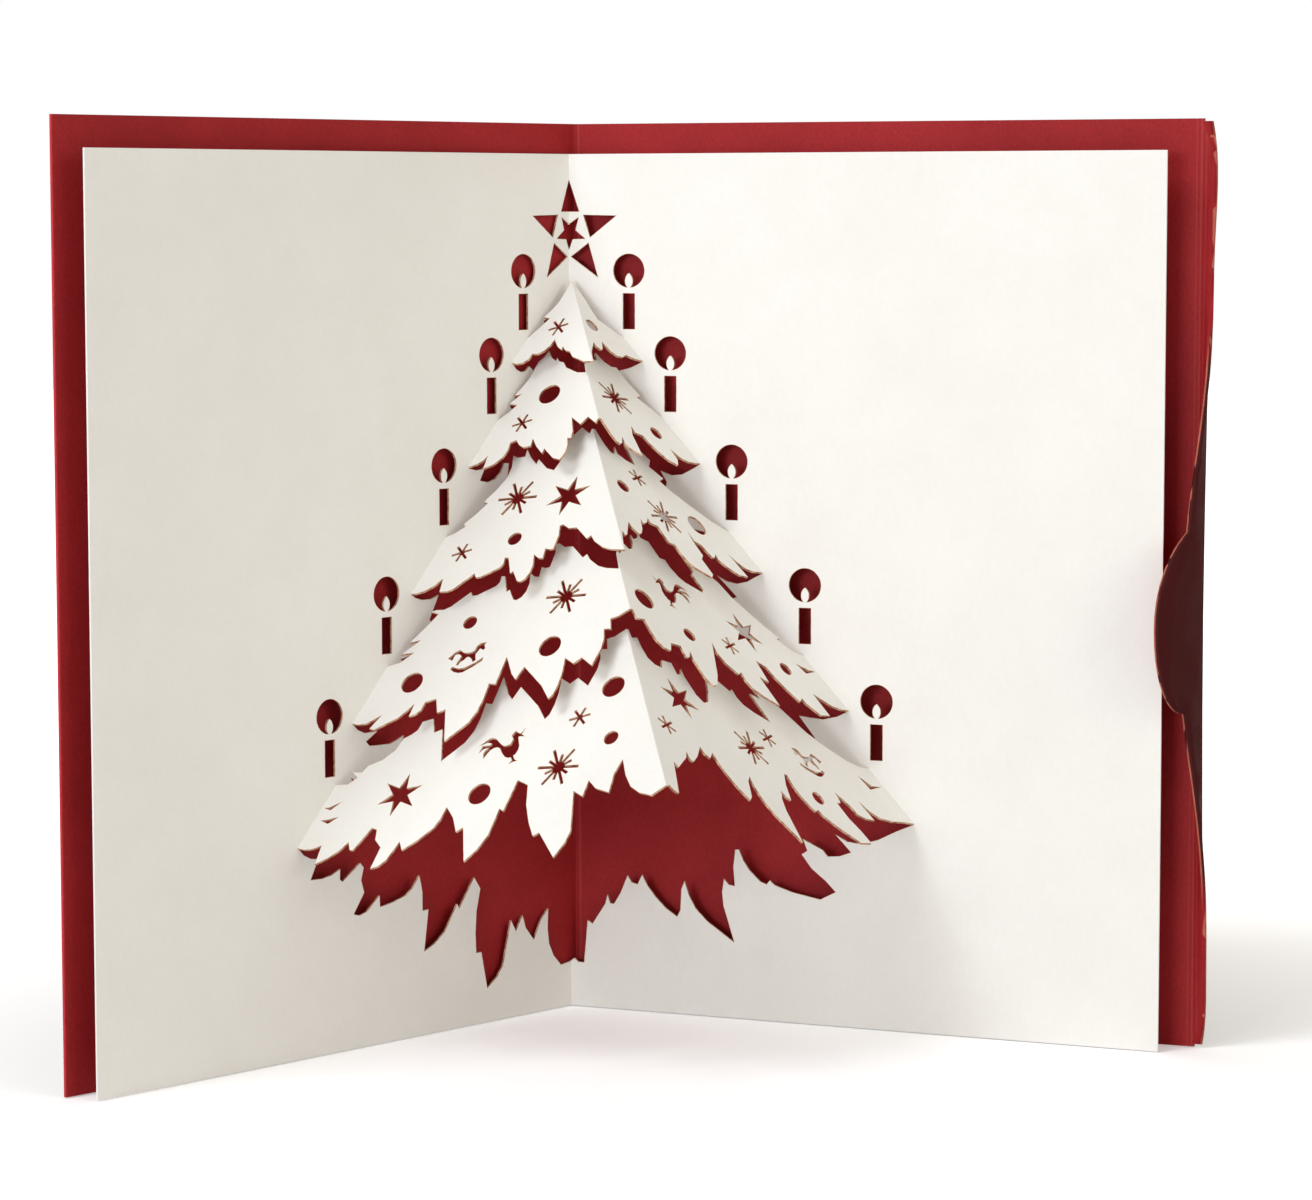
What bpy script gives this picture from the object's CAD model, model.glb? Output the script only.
from math import atan, cos, pi, radians, sin, tan

import bmesh
import bpy
from mathutils import Matrix, Vector

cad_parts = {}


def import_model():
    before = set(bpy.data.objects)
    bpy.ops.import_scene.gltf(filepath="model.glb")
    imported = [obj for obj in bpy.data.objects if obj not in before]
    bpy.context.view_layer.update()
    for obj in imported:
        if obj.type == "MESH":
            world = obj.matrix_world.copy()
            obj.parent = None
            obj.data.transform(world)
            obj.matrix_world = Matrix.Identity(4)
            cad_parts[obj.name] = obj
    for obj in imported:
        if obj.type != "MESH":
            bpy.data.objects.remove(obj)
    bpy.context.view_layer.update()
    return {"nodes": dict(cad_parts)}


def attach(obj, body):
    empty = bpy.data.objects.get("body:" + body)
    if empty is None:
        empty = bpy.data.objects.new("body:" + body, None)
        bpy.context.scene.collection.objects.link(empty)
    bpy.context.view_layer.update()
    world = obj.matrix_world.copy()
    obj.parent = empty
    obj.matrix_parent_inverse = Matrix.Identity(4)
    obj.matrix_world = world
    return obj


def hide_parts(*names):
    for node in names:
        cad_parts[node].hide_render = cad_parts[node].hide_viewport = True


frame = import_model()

MM = 0.001

# White sheet, as in the part
HALF_OPENING = radians(110.6 / 2)
HINGE = radians(42.2)
FIRST_APEX = 148.5 * MM
TIER_PITCH = 6.6 * MM
TIERS = 5
SHEET_WIDTH = 123.0 * MM
SHEET_HEIGHT = 172.0 * MM

# Cover, as in the part: its panels, its spine and its closing flap
COVER_WIDTH = 127.0 * MM
COVER_HEIGHT = 178.0 * MM
SPINE_SCORES = (1.2 * MM, 2.4 * MM)
SPINE_DEPTH = 1.9 * MM
COVER_ANGLES = {-1: radians(57.9), 1: radians(57.4)}
FLAP_TURN_MIDDLE = 108.0
FLAP_TURN_END = 34.0
FLAP_MIDDLE = 83.0 * MM
FLAP_STRIP = 1.6 * MM

# Width of the scorch line beside each laser cut
SCORCH_WIDTH = 0.06 * MM

# Lines pressed into the cover's inside: the near and far side of each, from an upright axis.
# LINE_COVER of a line's tone shows up to LINE_CORE of its half width, and none past LINE_FADE.
EDGE_LINES = ((0.36 * MM, 0.50 * MM), (1.0 * MM, 1.2 * MM))
SPINE_LINE = (0.34 * MM, 0.52 * MM)
LINE_CORE = 0.4
LINE_FADE = 1.3
LINE_COVER = 0.8

# Pale line on the flap's cut: where it begins and is full, from 0 outside to 1 inside. It changes
# sides where the flap no longer stands up, this far above and below its middle, over a blend.
PALE_INSIDE = (0.58, 0.72)
PALE_OUTSIDE = (0.24, 0.14)
FLAP_STANDS = 52.0 * MM
FLAP_BLEND = 4 * MM

# Limits that tell the faces of both sheets apart; a cosine is that of two directions
WELD = 0.001 * MM
PLANE_COSINE = 0.9995
PLANE_STEP = 0.1 * MM
CREASE_REACH = 0.32 * MM
CREASE_COSINE = 0.3
BORDER_SLACK = 0.05 * MM
PANEL_REACH = 0.8 * MM
RIM_COSINE = 0.7
FLAP_CUT_COSINE = 0.05

# Photograph's camera
CAMERA_PLACE = Vector((-154.29, -801.61, 160.42)) * MM
CAMERA_YAW = radians(12.113)
CAMERA_PITCH = radians(-5.443)
CAMERA_ROLL = radians(-0.062)
CAMERA_LENS = 111.63
SENSOR_WIDTH = 36.0
CAMERA_NEAR = 0.01
CAMERA_FAR = 50

# Colours: the two ends of each material's range, and tones that multiply or mark it
CARD_SHADE = (0.825, 0.808, 0.768)
CARD_LIGHT = (0.855, 0.842, 0.803)
CARD_FIBRE = (0.975, 0.972, 0.965)
CUT_WALL_PALE = (0.64, 0.43, 0.28)
CUT_WALL_DARK = (0.30, 0.115, 0.065)
SCORCH_PALE = (0.80, 0.64, 0.47)
SCORCH_DARK = (0.48, 0.26, 0.15)
RED_LOW = (0.262, 0.0100, 0.0125)
RED_HIGH = (0.312, 0.0140, 0.0170)
RED_OUTSIDE_LOW = (0.045, 0.0050, 0.0050)
RED_OUTSIDE_HIGH = (0.056, 0.0068, 0.0068)
RED_RIM_LOW = (0.42, 0.020, 0.030)
RED_RIM_HIGH = (0.50, 0.028, 0.038)
RED_SPECK = (1.24, 1.4, 1.4)
RED_LINE = (0.36, 0.042, 0.038)
FLAP_PALE_LOW = (0.38, 0.085, 0.055)
FLAP_PALE_HIGH = (0.50, 0.15, 0.095)
FOAM_LOW = (0.62, 0.61, 0.58)
FOAM_HIGH = (0.82, 0.81, 0.79)
FLOOR_TONE = (0.90, 0.90, 0.90)
WHITE = (1, 1, 1)

# World's level and tone, and the lamps: place and size in metres, power in watts, tone
WORLD_LEVEL = 0.41
WORLD_TONE = (1.0, 0.935, 0.825)
LAMPS = {
    "high": ((-0.84, -0.42, 1.10), (0.50, 0.50), 7.8, (0.97, 1.0, 1.07)),
    "low": ((-0.95, -1.05, 0.25), (0.50, 0.30), 6.1, (0.97, 1.0, 1.07)),
    "right": ((0.75, -0.95, 0.45), (0.60, 0.60), 3.2, (1.0, 0.96, 0.88)),
}
LAMP_AIM = (0, -0.02, 0.09)

# Floor, in metres: for the camera it glows, from FLOOR_GLOW near the card to full white farther out
FLOOR_REACH = 3.0
FLOOR_PLACE = (0, -0.05, -0.0002)
FLOOR_GLOW = 0.30
GLOW_NEAR = 0.11
GLOW_FAR = 0.42


def camera():
    """Camera at the photograph's viewing angle."""
    data = bpy.data.cameras.new("camera")
    data.lens = CAMERA_LENS
    data.sensor_width = SENSOR_WIDTH
    data.sensor_fit = "HORIZONTAL"
    data.clip_start = CAMERA_NEAR
    data.clip_end = CAMERA_FAR
    obj = bpy.data.objects.new("camera", data)
    bpy.context.scene.collection.objects.link(obj)
    ahead = Vector((sin(CAMERA_YAW) * cos(CAMERA_PITCH), cos(CAMERA_YAW) * cos(CAMERA_PITCH),
                    sin(CAMERA_PITCH)))
    right = Vector((cos(CAMERA_YAW), -sin(CAMERA_YAW), 0))
    up = right.cross(ahead)
    right_rolled = right * cos(CAMERA_ROLL) + up * sin(CAMERA_ROLL)
    up_rolled = up * cos(CAMERA_ROLL) - right * sin(CAMERA_ROLL)
    turn = Matrix((right_rolled, up_rolled, -ahead)).transposed()
    obj.matrix_world = Matrix.Translation(CAMERA_PLACE) @ turn.to_4x4()
    bpy.context.scene.camera = obj


class Nodes:
    """Short way to write the nodes of a material or of the world."""

    def __init__(self, owner, shader):
        owner.use_nodes = True
        self.owner = owner
        self.tree = owner.node_tree
        self.shader = self.tree.nodes[shader]

    def add(self, kind, inputs=None, **settings):
        node = self.tree.nodes.new(kind)
        for key, value in settings.items():
            setattr(node, key, value)
        for key, value in (inputs or {}).items():
            self.put(node, key, value)
        return node

    def put(self, node, key, value):
        """Links a socket to an input, or sets the input to a plain value."""
        socket = node.inputs[key]
        if isinstance(value, bpy.types.NodeSocket):
            self.tree.links.new(value, socket)
        else:
            socket.default_value = value

    def place(self):
        return self.add("ShaderNodeTexCoord").outputs["Object"]

    def noise(self, scale, detail=3, stretch=(1, 1, 1), rough=0.5):
        mapped = self.add("ShaderNodeMapping", {"Vector": self.place(), "Scale": stretch})
        return self.add("ShaderNodeTexNoise", {"Vector": mapped.outputs["Vector"], "Scale": scale,
                                               "Detail": detail, "Roughness": rough}).outputs["Fac"]

    def spread(self, value, low, high, to_low=0, to_high=1):
        """Spreads the range from low to high over another one."""
        return self.add("ShaderNodeMapRange", {"Value": value, "From Min": low, "From Max": high,
                                               "To Min": to_low, "To Max": to_high}
                        ).outputs["Result"]

    def blend(self, factor, a, b, how="MIX"):
        node = self.add("ShaderNodeMix", data_type="RGBA", blend_type=how)
        for key, value in ((0, factor), (6, a), (7, b)):
            self.put(node, key, value)
        return node.outputs[2]

    def calc(self, how, a, b=0.0):
        return self.add("ShaderNodeMath", {0: a, 1: b}, operation=how).outputs[0]

    def bump(self, height, strength, distance, normal=None):
        inputs = {"Height": height, "Strength": strength, "Distance": distance}
        if normal:
            inputs["Normal"] = normal
        return self.add("ShaderNodeBump", inputs).outputs["Normal"]


def material(name):
    """Nodes of a new material."""
    return Nodes(bpy.data.materials.new(name), "Principled BSDF")


def rgb(red, green, blue):
    return (red, green, blue, 1.0)


def white_card():
    """Uncoated white card: soft fibre mottle, a faint tooth and hardly any gloss."""
    n = material("white_card")
    cloud = n.noise(scale=60, rough=0.6)
    fibre = n.noise(scale=1500, stretch=(1, 1, 0.45))
    base = n.blend(n.spread(cloud, 0.3, 0.7), rgb(*CARD_SHADE), rgb(*CARD_LIGHT))
    grain = n.spread(fibre, 0.25, 0.75)
    colour = n.blend(grain, n.blend(1.0, base, rgb(*CARD_FIBRE), "MULTIPLY"), base)
    bow = n.noise(scale=16, detail=1, rough=0.3)
    tooth = n.bump(fibre, strength=0.25, distance=0.06 * MM)
    n.put(n.shader, "Base Color", colour)
    n.put(n.shader, "Roughness", 0.82)
    n.put(n.shader, "Specular IOR Level", 0.25)
    n.put(n.shader, "Normal", n.bump(bow, strength=0.5, distance=1.6 * MM, normal=tooth))
    return n.owner


def scorched(name, pale, dark, scale):
    """Card browned by the laser that cut it."""
    n = material(name)
    burn = n.noise(scale, rough=0.6)
    n.put(n.shader, "Base Color", n.blend(n.spread(burn, 0.35, 0.65), rgb(*pale), rgb(*dark)))
    n.put(n.shader, "Roughness", 0.9)
    n.put(n.shader, "Specular IOR Level", 0.15)
    n.put(n.shader, "Normal", n.bump(burn, strength=0.3, distance=0.05 * MM))
    return n.owner


def pressed_line(n, axis, near, far):
    """Mask of a line between two distances from an upright axis."""
    offset = n.add("ShaderNodeVectorMath", {0: n.place(), 1: axis}, operation="SUBTRACT")
    flat = n.add("ShaderNodeVectorMath", {0: offset.outputs[0], 1: (1, 1, 0)},
                 operation="MULTIPLY")
    away = n.add("ShaderNodeVectorMath", {0: flat.outputs[0]}, operation="LENGTH")
    half_width = (far - near) / 2
    gap = n.calc("ABSOLUTE", n.calc("SUBTRACT", away.outputs["Value"], (near + far) / 2))
    return n.spread(gap, LINE_CORE * half_width, LINE_FADE * half_width, LINE_COVER, 0)


def red_card(name, low, high, gloss, lines=()):
    """Dyed board with a fine tooth, a little sheen and pressed lines."""
    n = material(name)
    cloud = n.noise(scale=45, rough=0.6)
    grain = n.noise(scale=2600, stretch=(1, 1, 0.6), rough=0.6)
    base = n.blend(n.spread(cloud, 0.3, 0.7), rgb(*low), rgb(*high))
    speck = n.spread(grain, 0.35, 0.70)
    colour = n.blend(speck, base, n.blend(1.0, base, rgb(*RED_SPECK), "MULTIPLY"))
    for line in lines:
        colour = n.blend(pressed_line(n, *line), colour, rgb(*RED_LINE))
    n.put(n.shader, "Base Color", colour)
    n.put(n.shader, "Roughness", 0.6)
    n.put(n.shader, "Specular IOR Level", gloss)
    n.put(n.shader, "Normal", n.bump(grain, strength=0.35, distance=0.08 * MM))
    return n.owner


def flap_cut():
    """Cut edge of the flap, with a pale rubbed line: along its inside where the flap stands up, and
    along its outside at its ends, where the cut lies nearly in the flap's face."""
    n = material("flap_cut")
    tint = n.spread(n.noise(scale=300, rough=0.6), 0.3, 0.7)
    pale = n.blend(tint, rgb(*FLAP_PALE_LOW), rgb(*FLAP_PALE_HIGH))
    dark = n.blend(tint, rgb(*RED_OUTSIDE_LOW), rgb(*RED_OUTSIDE_HIGH))
    red = n.blend(tint, rgb(*RED_LOW), rgb(*RED_HIGH))
    side = n.add("ShaderNodeAttribute", attribute_name="inner_side").outputs["Fac"]
    middle = n.blend(n.spread(side, *PALE_INSIDE), dark, pale)
    end = n.blend(n.spread(side, PALE_OUTSIDE[1], PALE_OUTSIDE[0], 1, 0), red, pale)
    height = n.add("ShaderNodeSeparateXYZ", {"Vector": n.place()}).outputs["Z"]
    away = n.calc("ABSOLUTE", n.calc("SUBTRACT", height, FLAP_MIDDLE))
    at_end = n.spread(away, FLAP_STANDS - FLAP_BLEND, FLAP_STANDS + FLAP_BLEND)
    n.put(n.shader, "Base Color", n.blend(at_end, middle, end))
    n.put(n.shader, "Roughness", 0.7)
    n.put(n.shader, "Specular IOR Level", 0.15)
    return n.owner


def foam():
    """White foam of the pads."""
    n = material("foam")
    cells = n.add("ShaderNodeTexVoronoi", {"Vector": n.place(), "Scale": 2500}).outputs["Distance"]
    n.put(n.shader, "Base Color", n.blend(n.spread(cells, 0, 0.6), rgb(*FOAM_LOW), rgb(*FOAM_HIGH)))
    n.put(n.shader, "Roughness", 0.9)
    n.put(n.shader, "Normal", n.bump(cells, strength=0.5, distance=0.2 * MM))
    return n.owner


def dress(node, dressing):
    """Gives a CAD node its material."""
    obj = frame["nodes"][node]
    obj.data.materials.clear()
    obj.data.materials.append(dressing)


def outwards(side, angle):
    """Level direction of a panel, from the fold to its free edge."""
    return Vector((side * sin(angle), -cos(angle), 0))


def off_line(point, start, direction):
    """Distance of a point from a line."""
    along = (point - start).dot(direction)
    return (point - start - direction * along).length


class SheetFaces:
    """Tells the white sheet's flat faces, creases, outer edges and laser-cut walls apart."""

    def __init__(self):
        ridge_turn = 2 * atan(tan(HINGE) * cos(HALF_OPENING))
        ridge = Vector((0, -sin(ridge_turn), -cos(ridge_turn)))
        self.normals = []
        self.creases = [(Vector((0, 0, 0)), Vector((0, 0, 1)))]
        hinges = []
        for side in (-1, 1):
            across = outwards(side, HALF_OPENING)
            hinge = Vector((0, 0, -cos(HINGE))) + across * sin(HINGE)
            hinges.append(hinge)
            self.normals.append(across.cross(Vector((0, 0, 1))).normalized())
            self.normals.append(ridge.cross(hinge).normalized())
        for tier in range(TIERS):
            apex = Vector((0, 0, FIRST_APEX - TIER_PITCH * tier))
            self.creases += [(apex, direction) for direction in hinges + [ridge]]

    def plane(self, face):
        """Key of the flat plane that a face lies in, or None."""
        for index, normal in enumerate(self.normals):
            facing = face.normal.dot(normal)
            if abs(facing) > PLANE_COSINE:
                level = face.calc_center_median().dot(normal)
                return index, facing > 0, round(level / PLANE_STEP)
        return None

    def is_crease(self, face):
        middle = face.calc_center_median()
        for start, direction in self.creases:
            near = off_line(middle, start, direction) < CREASE_REACH
            if near and abs(face.normal.dot(direction)) < CREASE_COSINE:
                return True
        return False

    def is_border(self, face):
        middle = face.calc_center_median()
        reach = max(middle.dot(outwards(side, HALF_OPENING)) for side in (-1, 1))
        inside = BORDER_SLACK < middle.z < SHEET_HEIGHT - BORDER_SLACK
        return reach > SHEET_WIDTH - BORDER_SLACK or not inside


def replacement(node, name, materials):
    """New piece with a copy of a CAD node's mesh, standing for that node."""
    mesh = frame["nodes"][node].data.copy()
    mesh.name = name
    mesh.materials.clear()
    for dressing in materials:
        mesh.materials.append(dressing)
    piece = bpy.data.objects.new(name, mesh)
    bpy.context.scene.collection.objects.link(piece)
    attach(piece, "root")
    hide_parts(node)
    return piece


def welded(piece):
    """Editable mesh of a piece, with its doubled vertices joined."""
    bm = bmesh.new()
    bm.from_mesh(piece.data)
    bmesh.ops.remove_doubles(bm, verts=bm.verts, dist=WELD)
    bm.normal_update()
    return bm


def white_sheet():
    """White sheet with browned cut walls and a thin scorch line along each cut."""
    piece = replacement("popup_sheet", "white_sheet", [
        white_card(),
        scorched("cut_wall", CUT_WALL_PALE, CUT_WALL_DARK, scale=900),
        scorched("scorch_line", SCORCH_PALE, SCORCH_DARK, scale=700)])
    flat, cut_wall, scorch_line = range(3)
    kinds = SheetFaces()
    bm = welded(piece)
    planes = {}
    walls = set()
    for face in bm.faces:
        face.material_index = flat
        plane = kinds.plane(face)
        if plane is not None:
            planes.setdefault(plane, []).append(face)
        elif not kinds.is_crease(face) and not kinds.is_border(face):
            walls.add(face)
    rims = []
    for key in sorted(planes):
        rims += bmesh.ops.inset_region(bm, faces=planes[key], thickness=SCORCH_WIDTH,
                                       use_boundary=True, use_even_offset=True)["faces"]
    for face in walls:
        face.material_index = cut_wall
    for face in rims:
        if any(other in walls for edge in face.edges for other in edge.link_faces):
            face.material_index = scorch_line
    bm.to_mesh(piece.data)
    bm.free()


class CoverFaces:
    """Tells the cover's inside, outside, cut edges and the flap's cut edge apart."""

    INSIDE, OUTSIDE, RIM, FLAP_CUT = range(4)

    def __init__(self):
        self.scores = {-1: Vector((SPINE_SCORES[0], SPINE_DEPTH, 0)),
                       1: Vector((SPINE_SCORES[1], SPINE_DEPTH, 0))}
        self.along = {side: outwards(side, COVER_ANGLES[side]) for side in (-1, 1)}
        self.inside = {side: self.along[side].cross(Vector((0, 0, 1))) * side for side in (-1, 1)}

    def flap_facing(self, height, strip):
        """Direction that the flap's inner face has at this height; its first strip turns half."""
        away = min(1, abs(height - FLAP_MIDDLE) / (COVER_HEIGHT - FLAP_MIDDLE))
        swing = (FLAP_TURN_MIDDLE - FLAP_TURN_END) / 2
        turn = radians(FLAP_TURN_END + swing * (1 + cos(away * pi)))
        turn = (turn / 2 if strip else turn) + pi / 2
        return self.along[1] * cos(turn) + self.inside[1] * sin(turn)

    def kind(self, face):
        """Kind of a face, by the part of the cover that it lies in."""
        middle = face.calc_center_median()
        if SPINE_SCORES[0] < middle.x < SPINE_SCORES[1]:
            facing = face.normal.dot(Vector((0, -1, 0)))
            return self.sort(facing, abs(facing) < RIM_COSINE, self.RIM)
        side = 1 if middle.x > SPINE_SCORES[1] else -1
        place = Vector((middle.x, middle.y, 0)) - self.scores[side]
        along = self.along[side]
        inside = self.inside[side]
        if side < 0 or place.dot(along) < COVER_WIDTH and place.dot(inside) < PANEL_REACH:
            facing = face.normal.dot(inside)
            return self.sort(facing, abs(facing) < RIM_COSINE, self.RIM)
        strip = (place - along * COVER_WIDTH).length < FLAP_STRIP
        facing = face.normal.dot(self.flap_facing(middle.z, strip))
        return self.sort(facing, abs(face.normal.dot(along)) < FLAP_CUT_COSINE, self.FLAP_CUT)

    def sort(self, facing, cut, edge):
        if cut:
            return edge
        return self.INSIDE if facing > 0 else self.OUTSIDE


def red_cover():
    """Red cover: its inside with pressed lines, its darker outside and its cut edges."""
    kinds = CoverFaces()
    edge = kinds.scores[1] + kinds.along[1] * COVER_WIDTH
    lines = [(edge, near, far) for near, far in EDGE_LINES]
    lines.append((kinds.scores[1], *SPINE_LINE))
    piece = replacement("cover", "red_cover", [
        red_card("red_inside", RED_LOW, RED_HIGH, gloss=0.16, lines=lines),
        red_card("red_outside", RED_OUTSIDE_LOW, RED_OUTSIDE_HIGH, gloss=0.05),
        red_card("red_rim", RED_RIM_LOW, RED_RIM_HIGH, gloss=0.2),
        flap_cut()])
    bm = welded(piece)
    inner = bm.verts.layers.float.new("inner_side")
    for face in bm.faces:
        face.material_index = kinds.kind(face)
        if face.material_index == kinds.INSIDE:
            for vert in face.verts:
                vert[inner] = 1.0
    bm.to_mesh(piece.data)
    bm.free()


def world():
    """World that is white for camera, transmission and glossy rays, and plain soft light else."""
    sky = bpy.data.worlds.new("world")
    bpy.context.scene.world = sky
    n = Nodes(sky, "Background")
    ray = n.add("ShaderNodeLightPath").outputs
    seen = n.calc("MAXIMUM", ray["Is Camera Ray"], ray["Is Transmission Ray"])
    seen = n.calc("MAXIMUM", seen, ray["Is Glossy Ray"])
    n.put(n.shader, "Strength", n.spread(seen, 0, 1, WORLD_LEVEL, 1))
    n.put(n.shader, "Color", n.blend(seen, rgb(*WORLD_TONE), rgb(*WHITE)))


def white_floor():
    """Floor that keeps the card's shadow and is white for the camera farther out."""
    mesh = bpy.data.meshes.new("floor")
    corners = [(x * FLOOR_REACH, y * FLOOR_REACH, 0)
               for x, y in ((-1, -1), (1, -1), (1, 1), (-1, 1))]
    mesh.from_pydata(corners, [], [(0, 1, 2, 3)])
    floor = bpy.data.objects.new("floor", mesh)
    floor.location = FLOOR_PLACE
    bpy.context.scene.collection.objects.link(floor)
    n = material("floor")
    n.put(n.shader, "Base Color", rgb(*FLOOR_TONE))
    n.put(n.shader, "Roughness", 0.95)
    n.put(n.shader, "Specular IOR Level", 0.1)
    away = n.add("ShaderNodeVectorMath", {0: n.place()}, operation="LENGTH").outputs["Value"]
    glow = n.spread(away, GLOW_NEAR, GLOW_FAR, FLOOR_GLOW, 1)
    camera_ray = n.add("ShaderNodeLightPath").outputs["Is Camera Ray"]
    n.put(n.shader, "Emission Color", rgb(*WHITE))
    n.put(n.shader, "Emission Strength", n.calc("MULTIPLY", glow, camera_ray))
    mesh.materials.append(n.owner)


def lamp(name, place, size, power, tone):
    """Soft rectangular lamp."""
    data = bpy.data.lights.new(name, "AREA")
    data.shape = "RECTANGLE"
    data.size, data.size_y = size
    data.energy = power
    data.color = tone
    obj = bpy.data.objects.new(name, data)
    bpy.context.scene.collection.objects.link(obj)
    obj.location = place
    obj.rotation_euler = (Vector(LAMP_AIM) - Vector(place)).to_track_quat("-Z", "Y").to_euler()


camera()
world()
white_floor()
for lamp_name, settings in LAMPS.items():
    lamp(lamp_name, *settings)
white_sheet()
red_cover()
pad_material = foam()
for pad in ("foam_pad_foot_left", "foam_pad_foot_right", "foam_pad_top_left",
            "foam_pad_top_right"):
    dress(pad, pad_material)
bpy.context.scene.view_settings.view_transform = "Standard"
